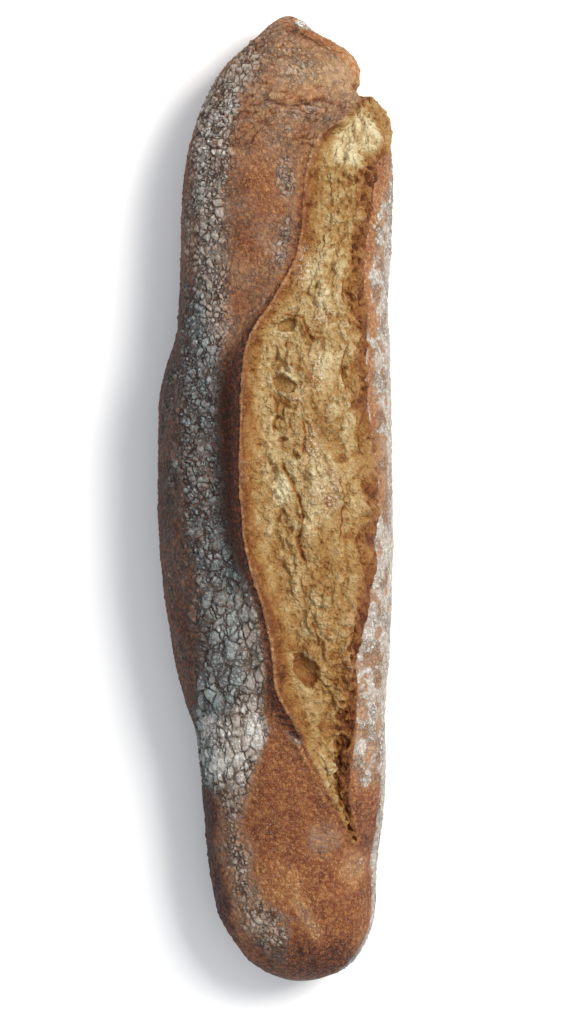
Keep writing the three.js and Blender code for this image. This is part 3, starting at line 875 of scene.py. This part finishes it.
# ---------------------------------------------------------------- the mesh
def loaf_mesh(points, fields):
    """Skins the grid, closes each end in a point, and lays the grid out flat as the UV map."""
    rows, columns = points.shape[:2]
    tips = np.array([[curve(LEFT_SIDE, np.array(end)), end, TIP_HEIGHT]
                     for end in (-HALF_LENGTH, HALF_LENGTH)])
    everything = np.concatenate([points.reshape(-1, 3), tips])
    low, high = everything.min(0), everything.max(0)
    shift = np.array([-(low[0] + high[0]) / 2, -(low[1] + high[1]) / 2, -low[2]])
    anchor = np.array([(LOW.x + HIGH.x) / 2, (LOW.y + HIGH.y) / 2, LOW.z])
    everything = (everything + shift) * MM + anchor

    row, column = (v.ravel() for v in np.mgrid[:rows - 1, :columns])
    corners = np.array([(0, 0), (1, 0), (1, 1), (0, 1)])
    quad_rows = row[:, None] + corners[:, 0]
    quad_columns = column[:, None] + corners[:, 1]
    quads = quad_rows * columns + quad_columns % columns
    here = np.arange(columns)
    beside = (here + 1) % columns
    foot, head = rows * columns, rows * columns + 1
    last = (rows - 1) * columns
    foot_fan = np.stack([here * 0 + foot, here, beside], -1)
    head_fan = np.stack([here * 0 + head, last + beside, last + here], -1)

    mesh = bpy.data.meshes.new("baguette")
    mesh.from_pydata(everything.tolist(), [], quads.tolist() + foot_fan.tolist() + head_fan.tolist())
    mesh.shade_smooth()

    across = np.stack([(here + 0.5), here, here + 1], -1) / columns
    foot_uv = np.stack([across, np.broadcast_to((0, 1 / rows, 1 / rows), across.shape)], -1)
    head_up = np.broadcast_to((1, 1 - 1 / rows, 1 - 1 / rows), across.shape)
    head_uv = np.stack([across[:, [0, 2, 1]], head_up], -1)
    quad_uv = np.stack([quad_columns / columns, (quad_rows + 1) / (rows + 1)], -1)
    uv = np.concatenate([part.reshape(-1, 2) for part in (quad_uv, foot_uv, head_uv)])
    mesh.uv_layers.new(name="OFBake").data.foreach_set("uv", uv.ravel())

    for name, field in fields.items():
        values = np.concatenate([field.ravel(), field[0, :1], field[-1, :1]])
        attribute = mesh.attributes.new(name, "FLOAT", "POINT")
        attribute.data.foreach_set("value", values.astype(np.float32))
    return mesh


# ---------------------------------------------------------------- the material
CRUST_COLOURS = [
    (0.0, (0.498, 0.315, 0.149)), (0.3, (0.357, 0.162, 0.06)), (0.52, (0.249, 0.085, 0.026)),
    (0.75, (0.158, 0.039, 0.016)), (1.0, (0.033, 0.012, 0.008)),
]
CRUMB_COLOURS = [
    (0.0, (0.60, 0.51, 0.315)), (0.15, (0.50, 0.39, 0.21)), (0.3, (0.39, 0.266, 0.12)),
    (0.5, (0.303, 0.162, 0.05)), (0.75, (0.199, 0.073, 0.018)), (1.0, (0.1, 0.028, 0.009)),
]
FLOUR_COLOURS = [  # thin to thick
    (0.0, (0.62, 0.37, 0.20)), (0.35, (0.53, 0.38, 0.27)), (0.6, (0.46, 0.39, 0.325)),
    (0.8, (0.49, 0.44, 0.38)), (0.92, (0.63, 0.585, 0.53)), (1.0, (0.84, 0.81, 0.77)),
]
# Flour over the darkest crust, on the left flank, painted darker and bluer as shade.
SHADED_FLOUR_COLOURS = [  # the same where the crust is darkest
    (0.58, (0.05, 0.085, 0.107)), (0.8, (0.17, 0.26, 0.28)),
]
# The dark of cracks, hair cracks and furrows: the crust showing through, and painted shade.
GROOVE_TINT_AND_SHADE_COLOUR = (0.018, 0.012, 0.010)
# Painted highlights on the crumb's glossy patches.
PAINTED_GLINT_COLOUR = (0.75, 0.70, 0.60)

# How many of each fine pattern's marks there are to a drawn millimetre.
PER_MM = SimpleNamespace(speckle=0.75, fleck=1.5, patch=0.12, pull=0.4, hair=0.65, foam=0.9)
PULL = 1.5  # how far the hairs and the foam are pulled about, in drawn millimetres
FINE_RELIEF = 0.95  # height of the relief too fine for the mesh, in drawn millimetres
FIELDS = ("crumb", "bake", "flour", "crack", "groove_tint_and_shade", "gloss_and_painted_glint")


class Nodes:
    """Short ways to add nodes to a material and to join them."""

    def __init__(self, material):
        material.use_nodes = True
        self.tree = material.node_tree
        self.tree.nodes.clear()

    def add(self, kind, settings=None, inputs=None):
        """Adds a node. An input is given a value, or another node's output."""
        node = self.tree.nodes.new(kind)
        for name, value in (settings or {}).items():
            setattr(node, name, value)
        for name, value in (inputs or {}).items():
            if isinstance(value, bpy.types.NodeSocket):
                self.tree.links.new(value, node.inputs[name])
            else:
                node.inputs[name].default_value = value
        return node

    def field(self, name):
        return self.add("ShaderNodeAttribute", {"attribute_name": name}).outputs["Fac"]

    def maths(self, operation, a, b=0.0, clamp=False):
        node = self.add("ShaderNodeMath", {"operation": operation, "use_clamp": clamp}, {0: a, 1: b})
        return node.outputs[0]

    def plus(self, a, b, clamp=False):
        return self.maths("ADD", a, b, clamp)

    def minus(self, a, b, clamp=False):
        return self.maths("SUBTRACT", a, b, clamp)

    def times(self, first, *others):
        for other in others:
            first = self.maths("MULTIPLY", first, other)
        return first

    def spread(self, value, low, high, to_low=0.0, to_high=1.0):
        """Maps low..high softly onto to_low..to_high."""
        node = self.add("ShaderNodeMapRange", {"interpolation_type": "SMOOTHSTEP"}, {
            "Value": value, "From Min": low, "From Max": high, "To Min": to_low, "To Max": to_high,
        })
        return node.outputs["Result"]

    def noise(self, place, per_mm, detail, roughness=0.55):
        node = self.add("ShaderNodeTexNoise", None, {
            "Vector": place, "Scale": per_mm / MM, "Detail": detail, "Roughness": roughness,
        })
        return node.outputs["Fac"]

    def cells(self, place, per_mm, feature):
        """Distance from the middle of the cell (F1), or from its edge (DISTANCE_TO_EDGE)."""
        node = self.add("ShaderNodeTexVoronoi", {"feature": feature}, {
            "Vector": place, "Scale": per_mm / MM,
        })
        return node.outputs["Distance"]

    def colours(self, factor, stops):
        node = self.add("ShaderNodeValToRGB", None, {"Fac": factor})
        ramp = node.color_ramp
        while len(ramp.elements) < len(stops):
            ramp.elements.new(0.5)
        for element, (position, colour) in zip(ramp.elements, stops):
            element.position = position
            element.color = (*colour, 1)
        return node.outputs["Color"]

    def blend(self, factor, a, b):
        """Mixes two colours: a where factor is 0, b where it is 1."""
        a, b = ((*c, 1) if isinstance(c, tuple) else c for c in (a, b))
        node = self.add("ShaderNodeMix", {"data_type": "RGBA"}, {0: factor, 6: a, 7: b})
        return node.outputs[2]


    def surface(self, inputs):
        shader = self.add("ShaderNodeBsdfPrincipled", None, inputs)
        self.add("ShaderNodeOutputMaterial", None, {"Surface": shader.outputs["BSDF"]})


def fine_patterns(nodes, field):
    """The patterns too fine for the mesh: grain, hair cracks in the flour, foam in the crumb,
    and the ragged edges of the wide cracks."""
    place = nodes.add("ShaderNodeTexCoord").outputs["Object"]
    fleck = nodes.noise(place, PER_MM.fleck, 3, 0.6)
    patchy = nodes.spread(nodes.noise(place, PER_MM.patch, 2), 0.42, 0.6)
    pull = nodes.add("ShaderNodeTexNoise", None, {
        "Vector": place, "Scale": PER_MM.pull / MM, "Detail": 2,
    })
    pulled = nodes.add("ShaderNodeVectorMath", {"operation": "MULTIPLY_ADD"}, {
        0: pull.outputs["Color"], 1: (PULL * MM, PULL * MM, PULL * MM), 2: place,
    }).outputs[0]
    from_hair = nodes.cells(pulled, PER_MM.hair, "DISTANCE_TO_EDGE")
    from_bubble = nodes.cells(pulled, PER_MM.foam, "F1")
    crazed = nodes.times(nodes.spread(field.flour, 0.1, 0.4), nodes.spread(patchy, 0, 1, 0.3, 1))
    ragged = nodes.plus(field.crack, nodes.spread(fleck, 0.3, 0.7, -0.14, 0.14))
    return SimpleNamespace(
        speckle=nodes.noise(place, PER_MM.speckle, 5, 0.7), fleck=fleck, patchy=patchy,
        hair=nodes.times(nodes.spread(from_hair, 0.03, 0.22, 1, 0), crazed),
        foam=nodes.times(nodes.spread(from_bubble, 0.1, 0.7), field.crumb),
        crack=nodes.times(nodes.spread(ragged, 0.05, CRACK_REACH, 1, 0), field.groove_tint_and_shade),
    )


def bare_colour(nodes, field, fine):
    """Crust and crumb without flour. Both bakes vary finely from point to point, the crumb
    less than the crust. The crust has fine creases, where the speckle passes its middle."""
    off_middle = nodes.maths("ABSOLUTE", nodes.minus(fine.speckle, 0.5))
    crease = nodes.times(
        nodes.spread(off_middle, 0.0, 0.035, 1, 0), nodes.spread(fine.patchy, 0, 1, 0.35, 1)
    )
    coarse_stir = nodes.spread(fine.speckle, 0.36, 0.64, -0.15, 0.15)
    fine_stir = nodes.spread(fine.fleck, 0.32, 0.68, -0.13, 0.13)
    stir = nodes.plus(nodes.plus(coarse_stir, fine_stir), nodes.times(crease, 0.45))
    stir = nodes.times(stir, nodes.spread(field.crumb, 0, 1, 1, 0.22))
    # The crumb's small bubbles are painted a little darker, as shade in them.
    stir = nodes.plus(stir, nodes.times(fine.foam, 0.06))
    level = nodes.plus(field.bake, stir, clamp=True)
    crust_colour = nodes.colours(level, CRUST_COLOURS)
    return nodes.blend(field.crumb, crust_colour, nodes.colours(level, CRUMB_COLOURS))


def flour_share(nodes, field, fine):
    """How much of the surface flour hides, from 0 to 1. Besides what the field says, single
    grains lie everywhere but on the crumb and the burnt ear."""
    grains = nodes.times(
        nodes.spread(fine.fleck, 0.56, 0.64, 0, 0.38), nodes.spread(field.bake, 0.75, 1, 1, 0),
        nodes.spread(field.crumb, 0, 1, 1, 0),
    )
    stirred = nodes.plus(field.flour, nodes.spread(fine.fleck, 0.3, 0.7, -0.1, 0.1))
    return nodes.maths("MAXIMUM", nodes.spread(stirred, 0.0, 0.85), grains)


def flour_colour(nodes, field, fine):
    """Tan where it is thin, white where it is thick, and a darker bluish grey over the darkest
    crust, as painted shade on the left flank.
    """
    tone = nodes.plus(field.flour, nodes.spread(fine.speckle, 0.38, 0.62, -0.16, 0.16), clamp=True)
    dark_and_shaded = nodes.times(
        nodes.spread(field.bake, 0.58, 0.98, 0, 0.68), nodes.spread(field.flour, 0.8, 0.95, 1, 0),
        nodes.spread(field.flour, 0.02, 0.2),
    )
    plain_flour = nodes.colours(tone, FLOUR_COLOURS)
    return nodes.blend(dark_and_shaded, plain_flour, nodes.colours(tone, SHADED_FLOUR_COLOURS))


def whole_colour(nodes, field, fine):
    """Flour over the bare colour, then painted glints on the crumb, then cracks through it all,
    dark as the crust below and as painted shade.
    """
    bare = bare_colour(nodes, field, fine)
    floury = nodes.blend(flour_share(nodes, field, fine), bare, flour_colour(nodes, field, fine))
    painted_glints = nodes.times(field.gloss_and_painted_glint, nodes.spread(fine.fleck, 0.5, 0.68, 0.0, 0.7))
    with_painted_glints = nodes.blend(painted_glints, floury, PAINTED_GLINT_COLOUR)
    groove_tint_and_shade_share = nodes.maths("MAXIMUM", fine.crack, nodes.times(fine.hair, 0.55))
    groove_tint_and_shade_mix = nodes.blend(0.75, bare, GROOVE_TINT_AND_SHADE_COLOUR)
    return nodes.blend(nodes.times(groove_tint_and_shade_share, 0.95), with_painted_glints, groove_tint_and_shade_mix)


def whole_roughness(nodes, field, fine):
    """Flour is duller than crust. Crumb is less dull, and its glossy skin least of all."""
    grainy = nodes.spread(fine.speckle, 0.3, 0.7, 0.42, 0.58)
    dull = nodes.plus(grainy, nodes.times(field.flour, 0.4))
    dull = nodes.minus(dull, nodes.times(field.crumb, 0.12))
    return nodes.minus(dull, nodes.times(field.gloss_and_painted_glint, 0.15), clamp=True)


def fine_relief(nodes, field, fine):
    """Grain that stands up, and hairs, cracks and foam that are sunk."""
    height = nodes.plus(fine.speckle, nodes.times(fine.fleck, 0.4))
    height = nodes.times(height, nodes.spread(field.crumb, 0, 1, 1, 0.6))
    for sunk, depth in ((fine.hair, 0.5), (fine.crack, 0.4), (fine.foam, 0.45)):
        height = nodes.minus(height, nodes.times(sunk, depth))
    bump = nodes.add("ShaderNodeBump", None, {
        "Height": height, "Strength": 1, "Distance": FINE_RELIEF * MM,
    })
    return bump.outputs["Normal"]


def baked_material():
    """The one material of the loaf. It reads the fields that the mesh carries."""
    material = bpy.data.materials.new("baked_crust")
    nodes = Nodes(material)
    field = SimpleNamespace(**{name: nodes.field(name) for name in FIELDS})
    fine = fine_patterns(nodes, field)
    nodes.surface({
        "Base Color": whole_colour(nodes, field, fine),
        "Roughness": whole_roughness(nodes, field, fine),
        "Normal": fine_relief(nodes, field, fine),
        "Specular IOR Level": 0.16,
    })
    return material


# ---------------------------------------------------------------- the studio
LENGTH = HIGH.y - LOW.y  # the places and sizes below are in loaf lengths
FLOOR_REACH, FLOOR_GREY, FLOOR_ROUGHNESS, FLOOR_SPECULAR = 20, 0.9, 0.9, 0.1
KEY = SimpleNamespace(place=(3.3, 1.9, 4.8), size=2.6, watts=44.5, colour=(1.0, 0.955, 0.9))
SKY_COLOUR, SKY_STRENGTH = (0.94, 0.98, 1.03), 0.80
LENS, SENSOR = 200, 36  # in millimetres
VIEW_CENTRE = (0.013, -0.0141)
VIEW_HEIGHT = 1.059  # of the whole picture, at the level of the loaf's waist


def add_floor():
    material = bpy.data.materials.new("floor_paper")
    Nodes(material).surface({
        "Base Color": (FLOOR_GREY, FLOOR_GREY, FLOOR_GREY, 1), "Roughness": FLOOR_ROUGHNESS,
        "Specular IOR Level": FLOOR_SPECULAR,
    })
    reach = FLOOR_REACH * LENGTH
    corners = [(-reach, -reach), (reach, -reach), (reach, reach), (-reach, reach)]
    mesh = bpy.data.meshes.new("floor")
    mesh.from_pydata([(x, y, LOW.z) for x, y in corners], [], [(0, 1, 2, 3)])
    mesh.materials.append(material)
    floor = bpy.data.objects.new("floor", mesh)
    bpy.context.scene.collection.objects.link(floor)


def add_sky():
    """Even light from all round, which fills the shades."""
    world = bpy.data.worlds.new("studio")
    world.use_nodes = True
    background = world.node_tree.nodes["Background"]
    background.inputs["Color"].default_value = (*SKY_COLOUR, 1)
    background.inputs["Strength"].default_value = SKY_STRENGTH
    bpy.context.scene.world = world


def add_key_light():
    """A square soft light from the right, which leaves the left flank in shade."""
    data = bpy.data.lights.new("key", "AREA")
    data.size = KEY.size * LENGTH
    data.energy = KEY.watts
    data.color = KEY.colour
    light = bpy.data.objects.new("key", data)
    light.location = [LENGTH * v for v in KEY.place]
    light.rotation_euler = light.location.to_track_quat("Z", "Y").to_euler()
    bpy.context.scene.collection.objects.link(light)


def add_camera():
    """Straight above, far enough away that the crown is hardly nearer than the sides."""
    data = bpy.data.cameras.new("camera")
    data.lens = LENS
    data.sensor_width = SENSOR
    camera = bpy.data.objects.new("camera", data)
    waist = LOW.z + curve(WAIST, np.array(0.0)) * MM
    centre_x, centre_y = (LENGTH * v for v in VIEW_CENTRE)
    camera.location = (centre_x, centre_y, waist + VIEW_HEIGHT * LENGTH * LENS / SENSOR)
    bpy.context.scene.collection.objects.link(camera)
    bpy.context.scene.camera = camera


# ---------------------------------------------------------------- making it all
loaf = bpy.data.objects.new("baguette", loaf_mesh(*dress(*plain_loaf())))
loaf.data.materials.append(baked_material())
bpy.context.scene.collection.objects.link(loaf)
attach(loaf, "root")
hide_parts(NODE)

add_floor()
add_sky()
add_key_light()
add_camera()
bpy.context.scene.view_settings.view_transform = "Standard"
